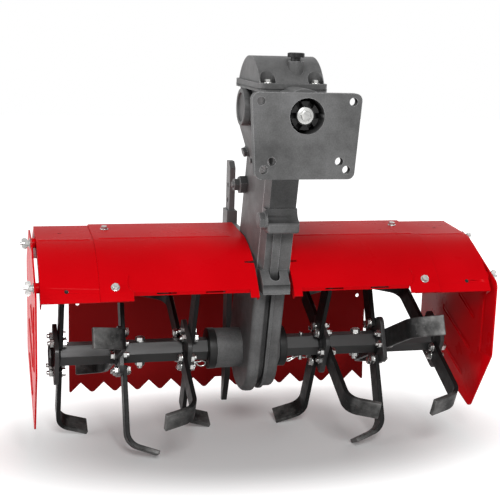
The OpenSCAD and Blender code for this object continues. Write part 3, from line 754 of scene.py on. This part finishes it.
tubeFlat = 19.0
crossBolts = {"x": (-214, 200), "head": {"flatR": 8.0, "headH": 6.0, "washerR": 10.0, "washerT": 1.6},
              "nut": {"flatR": 8.0, "nutH": 7.0, "studR": 4.8, "studH": 5.0}}
clipPins = {"pinR": 4.0, "above": 4.0, "below": 10.0, "holeZ": -24.5, "wireR": 1.5,
            "leftX": -118.0, "headWide": 1.7, "headH": 3.0, "leftEdgeR": 0.6,
            "leftWire": ((-9, 0), (0, 0), (14, -1), (22, 0.5), (27, -4), (22, -9), (14, -8), (8, -3),
                         (4, -5.5)),
            "rightX": 92.0, "endInset": (0.8, 0.6), "rightEdgeR": 0.5,
            "rightWire": ((10, -2), (0, 0), (-8, 1), (-14, -3), (-26, -6), (-14, 2), (-20, 4.5))}


def pinRod():
    long = 2 * tubeFlat + clipPins["above"] + clipPins["below"]
    return cylinder(clipPins["pinR"], long, (0, 0, (clipPins["above"] - clipPins["below"]) / 2), 20)


def clipPin(pin, wire, x):
    ring = wireClip([(along, 0, clipPins["holeZ"] + up) for along, up in wire], clipPins["wireR"])
    return moveTo(joinPieces([pin, ring], "clipPin"), spot(x, 0, 0))


def fitTubePins():
    head = boltHead(**crossBolts["head"])
    nut = nutEnd(**crossBolts["nut"])
    copies = []
    for x in crossBolts["x"]:
        copies.append(copyTo(head, spot(x, 0, tubeFlat), (0, 0, 1), turn=0.3))
        copies.append(copyTo(nut, spot(x, 0, -tubeFlat), (0, 0, -1), turn=0.2))
    dropMasters(head, nut)
    headed = pinRod()
    editFaces(headed, facesUp)
    bpy.ops.mesh.extrude_region_move(TRANSFORM_OT_translate={"value": (0, 0, 0)})
    bpy.ops.transform.resize(value=(clipPins["headWide"], clipPins["headWide"], 1))
    bpy.ops.mesh.extrude_region_move(TRANSFORM_OT_translate={"value": (0, 0, clipPins["headH"] * mm)})
    leaveEdit()
    softEdges(headed, clipPins["leftEdgeR"])
    copies.append(clipPin(headed, clipPins["leftWire"], clipPins["leftX"]))
    plain = pinRod()
    insetFaces(plain, facesUp, clipPins["endInset"])
    softEdges(plain, clipPins["rightEdgeR"])
    copies.append(clipPin(plain, clipPins["rightWire"], clipPins["rightX"]))
    finishPiece(joinPieces(copies, "tubePins"), "rotor", "zinc")


fitTubePins()


# Front of the hood: an arc of angles above straight ahead

hoodArc = {"middleY": 8.0, "middleZ": 20.0, "r": 200.0}


def hoodNormal(angle):
    a = math.radians(angle)
    return Vector((0, -math.cos(a), math.sin(a)))


def onHood(x, angle, proud=0.0):
    out = hoodNormal(angle) * (hoodArc["r"] + proud)
    return spot(x, hoodArc["middleY"] + out.y, hoodArc["middleZ"] + out.z)


# Slit in the inner edge of each hood cover, wider at its mouth

hoodSlit = {"angle": 56.0, "x": 29.0, "long": 18.0, "wide": 4.0, "mouth": 1.7, "deep": 12.0}


def cutHoodSlit(piece, side):
    clearSelection()
    bpy.ops.mesh.primitive_cube_add(size=1)
    slit = bpy.context.object
    slit.scale = [hoodSlit[k] * mm for k in ("long", "wide", "deep")]
    settle(slit)
    editFaces(slit, lambda middle, normal: normal.x * side < -0.9)
    bpy.ops.transform.resize(value=(1, hoodSlit["mouth"], 1))
    leaveEdit()
    slit.rotation_euler = (math.radians(90 - hoodSlit["angle"]), 0, 0)
    slit.location = onHood(side * (hoodSlit["x"] + hoodSlit["long"] / 2), hoodSlit["angle"])
    cutAway(piece, settle(slit))
    smooth(piece, sheetShade)


cutHoodSlit(dressed["hood_cover_left"], -1)
cutHoodSlit(dressed["hood_cover_right"], 1)


# Bolts of the hood, at its lip and on its top, and in the pockets of the gearbox cover

frameBolts = {"hoodX": 276.0, "lipAngle": 42.4, "topY": 36.0, "topZ": 220.7, "topAxis": (0, -0.06, 1),
              "pocketX": 40.0, "pocketY": (-196.2, -55.8), "pocketZ": 500.0,
              "head": {"flatR": 5.2, "headH": 4.4, "washerR": 7.4, "washerT": 1.2}}


def fitFrameBolts():
    head = boltHead(**frameBolts["head"])
    copies = []
    for side in (-1, 1):
        x, lip = side * frameBolts["hoodX"], frameBolts["lipAngle"]
        copies.append(copyTo(head, onHood(x, lip), hoodNormal(lip), turn=0.3))
        top = spot(x, frameBolts["topY"], frameBolts["topZ"])
        copies.append(copyTo(head, top, frameBolts["topAxis"], turn=0.2))
    for side in (-1, 1):
        for y in frameBolts["pocketY"]:
            pocket = spot(side * frameBolts["pocketX"], y, frameBolts["pocketZ"])
            copies.append(copyTo(head, pocket, turn=0.4))
    dropMasters(head)
    finishPiece(joinPieces(copies, "frameBolts"), "frame", "zinc")


fitFrameBolts()


# Wing nuts of the side plates

wingNut = {"washerR": 9.0, "washerT": 1.6, "hubR": 6.0, "hubTopR": 4.5, "hubH": 7.0,
           "wingR": 5.2, "wingX": 7.6, "wingZ": 9.5, "wingT": 2.6, "wingDish": (1.5, -0.5),
           "studR": 3.0, "studH": 17.0, "edgeR": 0.5,
           "x": 409.0, "at": ((-119.8, 152.4), (1.6, 203.9)), "turns": (0.2, 1.0)}


def fitWingNuts():
    bits = [cylinder(wingNut["washerR"], wingNut["washerT"], (0, 0, wingNut["washerT"] / 2))]
    clearSelection()
    hubMiddle = wingNut["washerT"] + wingNut["hubH"] / 2
    bpy.ops.mesh.primitive_cone_add(vertices=24, radius1=wingNut["hubR"] * mm,
                                    radius2=wingNut["hubTopR"] * mm, depth=wingNut["hubH"] * mm,
                                    location=(0, 0, hubMiddle * mm))
    bits.append(settle(bpy.context.object))
    for side in (-1, 1):
        wing = cylinder(wingNut["wingR"], wingNut["wingT"], (side * wingNut["wingX"], 0, wingNut["wingZ"]),
                        vertices=20, turn=(math.pi / 2, 0, 0))
        insetFaces(wing, lambda middle, normal: abs(normal.y) > 0.9, wingNut["wingDish"])
        bits.append(wing)
    bits.append(cylinder(wingNut["studR"], wingNut["studH"], (0, 0, wingNut["studH"] / 2), 16))
    for bit in bits:
        softEdges(bit, wingNut["edgeR"])
    master = joinPieces(bits, "wingNut")
    copies = []
    for side in (-1, 1):
        for turn, (y, z) in zip(wingNut["turns"], wingNut["at"]):
            copies.append(copyTo(master, spot(side * wingNut["x"], y, z), (side, 0, 0), turn))
    dropMasters(master)
    finishPiece(joinPieces(copies, "wingNuts"), "frame", "zinc")


fitWingNuts()


# Painted bolts on the left of the leg: tensioner stud with its lock nut, lug bolt, case bolt and plug

legBolts = (
    {"kind": nutEnd, "size": {"flatR": 14.5, "nutH": 13.0, "studR": 9.0, "studH": 1.0},
     "at": (-29, -25, 310), "axis": (-1, 0, 0), "turn": 0.25},
    {"kind": nutEnd, "size": {"flatR": 10.0, "nutH": 9.0, "studR": 6.0, "studH": 2.0},
     "at": (-43, -25, 310), "axis": (-1, 0, 0), "turn": 0.1},
    {"kind": boltHead, "size": {"flatR": 12.5, "headH": 9.0, "washerR": 15.5, "washerT": 4.0},
     "at": (-25, -156, 269), "axis": (-1, 0, 0), "turn": 0.2},
    {"kind": boltHead, "size": {"flatR": 8.0, "headH": 6.0, "washerR": 10.0, "washerT": 1.6},
     "at": (-36, -53, 373), "axis": (-1, 0, -0.3), "turn": 0.1},
    {"kind": boltHead, "size": {"flatR": 3.6, "headH": 2.5, "washerR": 4.6, "washerT": 1.0},
     "at": (-31, -70, 358), "axis": (-1, 0, 0), "turn": 0.5},
)


def fitLegBolts():
    copies = []
    for bolt in legBolts:
        copies.append(moveTo(bolt["kind"](**bolt["size"]), spot(*bolt["at"]), bolt["axis"], bolt["turn"]))
    finishPiece(joinPieces(copies, "legBolts"), "frame", "cast")


fitLegBolts()


# Zinc washer and bolt in the input coupling

couplingBolt = {"at": (0, -278, 455), "head": {"flatR": 6.9, "headH": 5.6, "washerR": 13.4, "washerT": 3.4}}


def fitCouplingBolt():
    bolt = moveTo(boltHead(**couplingBolt["head"]), spot(*couplingBolt["at"]), (0, -1, 0), turn=0.3)
    bolt.name = "couplingBolt"
    finishPiece(bolt, "input", "zinc")


fitCouplingBolt()


# Filler cap: grip flutes round the rim, a dish on top

fillerCap = {"x": 11.0, "y": -177.5, "neckZ": 535.0, "neckR": 8.5, "neckH": 7.0, "neckMiddle": 3.4,
             "neckInset": (1.0, 0.4), "capZ": 541.0, "capR": 13.6, "capH": 6.6, "edgeR": 0.5,
             "flutes": 20, "flute": 0.45, "dish": ((2.0, 0.8), (2.2, -1.6))}


def fitFillerCap():
    capMiddle = fillerCap["capZ"] - fillerCap["neckZ"] + fillerCap["capH"] / 2
    cap = cylinder(fillerCap["capR"], fillerCap["capH"], (0, 0, capMiddle), 2 * fillerCap["flutes"])
    step = 2 * math.pi / fillerCap["flutes"]

    def everyOther(middle, normal):
        return abs(normal.z) < 0.5 and (math.atan2(normal.y, normal.x) / step) % 1 < 0.5

    editFaces(cap, everyOther)
    bpy.ops.mesh.extrude_faces_move(TRANSFORM_OT_shrink_fatten={"value": fillerCap["flute"] * mm})
    leaveEdit()
    insetFaces(cap, lambda middle, normal: normal.z > 0.9 and middle.xy.length < 1 * mm, *fillerCap["dish"])
    neck = cylinder(fillerCap["neckR"], fillerCap["neckH"], (0, 0, fillerCap["neckMiddle"]), 32)
    insetFaces(neck, lambda middle, normal: normal.z < -0.9, fillerCap["neckInset"])
    softEdges(cap, fillerCap["edgeR"])
    smooth(neck)
    foot = spot(fillerCap["x"], fillerCap["y"], fillerCap["neckZ"])
    piece = moveTo(joinPieces([cap, neck], "fillerCap"), foot)
    finishPiece(piece, "frame", "plastic")
    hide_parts("filler_cap")


fitFillerCap()


# Set screw of the stake holder, rod ends and bracket bolts

stakeScrew = {"at": (-5, 227, 206), "nut": {"flatR": 7.0, "nutH": 6.0, "studR": 4.0, "studH": 9.0}}
rodEnds = {"x": 298.0, "y": 280.0, "z": 108.0, "r": 7.5, "t": 3.0, "dome": ((2.4, 1.2), (2.4, 0.4)),
           "shade": 50}
bracketBolts = {"x": 32.0, "y": (-12.0, 12.0), "z": 190.0,
                "head": {"flatR": 6.5, "headH": 5.0, "washerR": 9.0, "washerT": 1.4}}


def fitSmallParts():
    copies = [moveTo(nutEnd(**stakeScrew["nut"]), spot(*stakeScrew["at"]), (0, 1, 0), turn=0.3)]
    dome = cylinder(rodEnds["r"], rodEnds["t"], (0, 0, rodEnds["t"] / 2), 24)
    insetFaces(dome, facesUp, *rodEnds["dome"])
    smooth(dome, rodEnds["shade"])
    head = boltHead(**bracketBolts["head"])
    for side in (-1, 1):
        aside = (side, 0, 0)
        copies.append(copyTo(dome, spot(side * rodEnds["x"], rodEnds["y"], rodEnds["z"]), aside))
        for y in bracketBolts["y"]:
            copies.append(copyTo(head, spot(side * bracketBolts["x"], y, bracketBolts["z"]), aside, turn=0.2))
    dropMasters(dome, head)
    finishPiece(joinPieces(copies, "smallParts"), "frame", "zinc")


fitSmallParts()


# Black gasket between the gearbox and its cover: its dark line is painted shade along the seam

shadeGasket = {"x": 58.5, "front": -212.5, "rear": -39.5, "z": 491.0, "t": 1.3, "corner": 12.5}


def fitShadeGasket():
    clearSelection()
    middle = spot(0, (shadeGasket["front"] + shadeGasket["rear"]) / 2, shadeGasket["z"])
    bpy.ops.mesh.primitive_cube_add(size=1, location=middle)
    sheet = bpy.context.object
    sheet.scale = (2 * shadeGasket["x"] * mm, (shadeGasket["rear"] - shadeGasket["front"]) * mm, shadeGasket["t"] * mm)
    settle(sheet)
    editEdges(sheet, lambda a, b: abs(a.z - b.z) > shadeGasket["t"] / 2 * mm)
    bpy.ops.mesh.bevel(offset=shadeGasket["corner"] * mm, segments=6, affect="EDGES")
    leaveEdit()
    sheet.name = "coverShadeGasket"
    finishPiece(smooth(sheet), "frame", "black")


fitShadeGasket()


# Black plugs in the hood end panels, which lie a little under the covers

endPlugs = {"x": 357.0, "frontA": 41.0, "topY": 20.0, "topZ": 217.4, "under": 2.3,
            "r": 3.3, "t": 3.0, "middle": -1.2, "dish": (0.9, -0.5)}


def fitEndPlugs():
    plug = cylinder(endPlugs["r"], endPlugs["t"], (0, 0, endPlugs["middle"]), 20)
    insetFaces(plug, facesUp, endPlugs["dish"])
    smooth(plug)
    copies = []
    for side in (-1, 1):
        x = side * endPlugs["x"]
        front = onHood(x, endPlugs["frontA"], -endPlugs["under"])
        copies.append(copyTo(plug, front, hoodNormal(endPlugs["frontA"])))
        copies.append(copyTo(plug, spot(x, endPlugs["topY"], endPlugs["topZ"])))
    dropMasters(plug)
    finishPiece(joinPieces(copies, "endPlugs"), "frame", "plastic")


fitEndPlugs()


# Pressed beads of the hood: one along the crease of each sheet, one round the end of the lip as (X, angle)

hoodBeads = {"wide": 4.5, "high": 0.8, "crease": 80.0, "sunk": 0.2, "shade": 40,
             "runs": ((60, 288, 0), (310, 394, endPlugs["under"])), "wireR": 0.9,
             "corner": ((244, 39.6), (250, 40.4), (254, 42.6), (255, 46), (252, 49))}


def fitHoodBeads():
    bits = []
    up = hoodNormal(hoodBeads["crease"])
    for side in (-1, 1):
        along = Vector((side, 0, 0))
        turn = Matrix((up, along.cross(up), along)).transposed().to_4x4()
        for start, end, under in hoodBeads["runs"]:
            bar = roundBar(end - start, hoodBeads["wide"], hoodBeads["high"])
            foot = onHood(side * start, hoodBeads["crease"], -hoodBeads["sunk"] - under)
            bar.data.transform(Matrix.Translation(foot) @ turn)
            bits.append(smooth(bar, hoodBeads["shade"]))
        corner = [onHood(side * x, angle) / mm for x, angle in hoodBeads["corner"]]
        bits.append(wireClip(corner, hoodBeads["wireR"]))
    finishPiece(joinPieces(bits, "hoodBeads"), "frame", "red")


fitHoodBeads()
print("hardware fitted")


# Stage: a pale floor that is white far from the machine and glows less near it, a painted shadow round the
# machine, and a white background that lights little

stageSet = {"floorSize": 14.0, "floorTone": 0.6, "floorDull": 0.9, "floorShine": 0.1, "worldTone": 0.14,
            "whiteFrom": 0.13, "whiteTo": 0.36, "nearGlow": 0.1, "narrow": (0.5, 1, 1)}


def seenRays(tree):
    # 1 where the camera, a reflection or glass looks
    path = tree.nodes.new("ShaderNodeLightPath")
    seen = maths(tree, "MAXIMUM", path.outputs["Is Camera Ray"], path.outputs["Is Glossy Ray"])
    return maths(tree, "MAXIMUM", seen, path.outputs["Is Transmission Ray"])


def floorLook():
    look = bpy.data.materials.new("paleFloor")
    look.use_nodes = True
    tree = look.node_tree
    shader = tree.nodes["Principled BSDF"]
    shader.inputs["Base Color"].default_value = (*grey(stageSet["floorTone"]), 1)
    shader.inputs["Roughness"].default_value = stageSet["floorDull"]
    shader.inputs["Specular IOR Level"].default_value = stageSet["floorShine"]
    place = tree.nodes.new("ShaderNodeTexCoord").outputs["Object"]
    away = vectors(tree, "LENGTH", vectors(tree, "MULTIPLY", place, stageSet["narrow"]))
    # painted shadow: less glow near the machine, so the floor there shows darker than the lamps alone make it
    fade = tree.nodes.new("ShaderNodeMapRange")
    fade.interpolation_type = "SMOOTHSTEP"
    fade.inputs["From Min"].default_value = stageSet["whiteFrom"]
    fade.inputs["From Max"].default_value = stageSet["whiteTo"]
    fade.inputs["To Min"].default_value = stageSet["nearGlow"]
    fade.inputs["To Max"].default_value = 1
    tree.links.new(away, fade.inputs["Value"])
    glow = tree.nodes.new("ShaderNodeEmission")
    glow.inputs["Color"].default_value = (1, 1, 1, 1)
    tree.links.new(maths(tree, "MULTIPLY", seenRays(tree), fade.outputs["Result"]), glow.inputs["Strength"])
    both = tree.nodes.new("ShaderNodeAddShader")
    tree.links.new(shader.outputs["BSDF"], both.inputs[0])
    tree.links.new(glow.outputs["Emission"], both.inputs[1])
    tree.links.new(both.outputs["Shader"], tree.nodes["Material Output"].inputs["Surface"])
    return look


def setStage():
    clearSelection()
    bpy.ops.mesh.primitive_plane_add(size=stageSet["floorSize"], location=(0, 0, 0))
    floor = settle(bpy.context.object)
    floor.name = "floor"
    floor.data.materials.append(floorLook())
    world = bpy.data.worlds.new("studio")
    bpy.context.scene.world = world
    world.use_nodes = True
    tree = world.node_tree
    back = tree.nodes["Background"]
    back.inputs["Color"].default_value = (1, 1, 1, 1)
    tone = stageSet["worldTone"]
    level = maths(tree, "MULTIPLY_ADD", seenRays(tree), 1 - tone, tone)
    tree.links.new(level, back.inputs["Strength"])


# Soft lamps, in metres and watts

lamps = {"sideLamp": {"place": (-3.1, -0.3, 0.95), "target": (0, -0.05, 0.4), "size": 2.2, "power": 57.0},
         "frontLamp": {"place": (-0.26, -2.52, 1.84), "target": (0, -0.05, 0.35), "size": 0.8, "power": 57.0},
         "backLamp": {"place": (2.4, 1.9, 0.95), "target": (0, 0.05, 0.35), "size": 2.0, "power": 40.0}}


def softLamp(name, place, target, size, power):
    lamp = bpy.data.lights.new(name, "AREA")
    lamp.size = size
    lamp.energy = power
    holder = bpy.data.objects.new(name, lamp)
    bpy.context.collection.objects.link(holder)
    holder.location = place
    aim = Vector(target) - Vector(place)
    holder.rotation_euler = aim.to_track_quat("-Z", "Y").to_euler()


# Camera: place in mm from the rotor axis, turns in degrees, lens on a sensor in mm

cameraSet = {"place": (-489.1, -1920.0, 592.8), "yaw": 13.95, "pitch": 11.66, "roll": 1.75,
             "lens": 79.06, "sensor": 36}


def setCamera():
    yaw, pitch, roll = (math.radians(cameraSet[k]) for k in ("yaw", "pitch", "roll"))
    ahead = Vector((math.sin(yaw) * math.cos(pitch), math.cos(yaw) * math.cos(pitch), -math.sin(pitch)))
    level = Vector((math.cos(yaw), -math.sin(yaw), 0))
    upright = level.cross(ahead)
    right = math.cos(roll) * level + math.sin(roll) * upright
    up = -math.sin(roll) * level + math.cos(roll) * upright
    lens = bpy.data.cameras.new("photoCamera")
    lens.lens = cameraSet["lens"]
    lens.sensor_width = cameraSet["sensor"]
    lens.sensor_fit = "HORIZONTAL"
    holder = bpy.data.objects.new("photoCamera", lens)
    bpy.context.collection.objects.link(holder)
    turn = Matrix((right, up, -ahead)).transposed().to_4x4()
    holder.matrix_world = Matrix.Translation(spot(*cameraSet["place"])) @ turn
    bpy.context.scene.camera = holder


setStage()
for name, lamp in lamps.items():
    softLamp(name, **lamp)
setCamera()
bpy.context.scene.view_settings.view_transform = "Standard"
print("stage set")
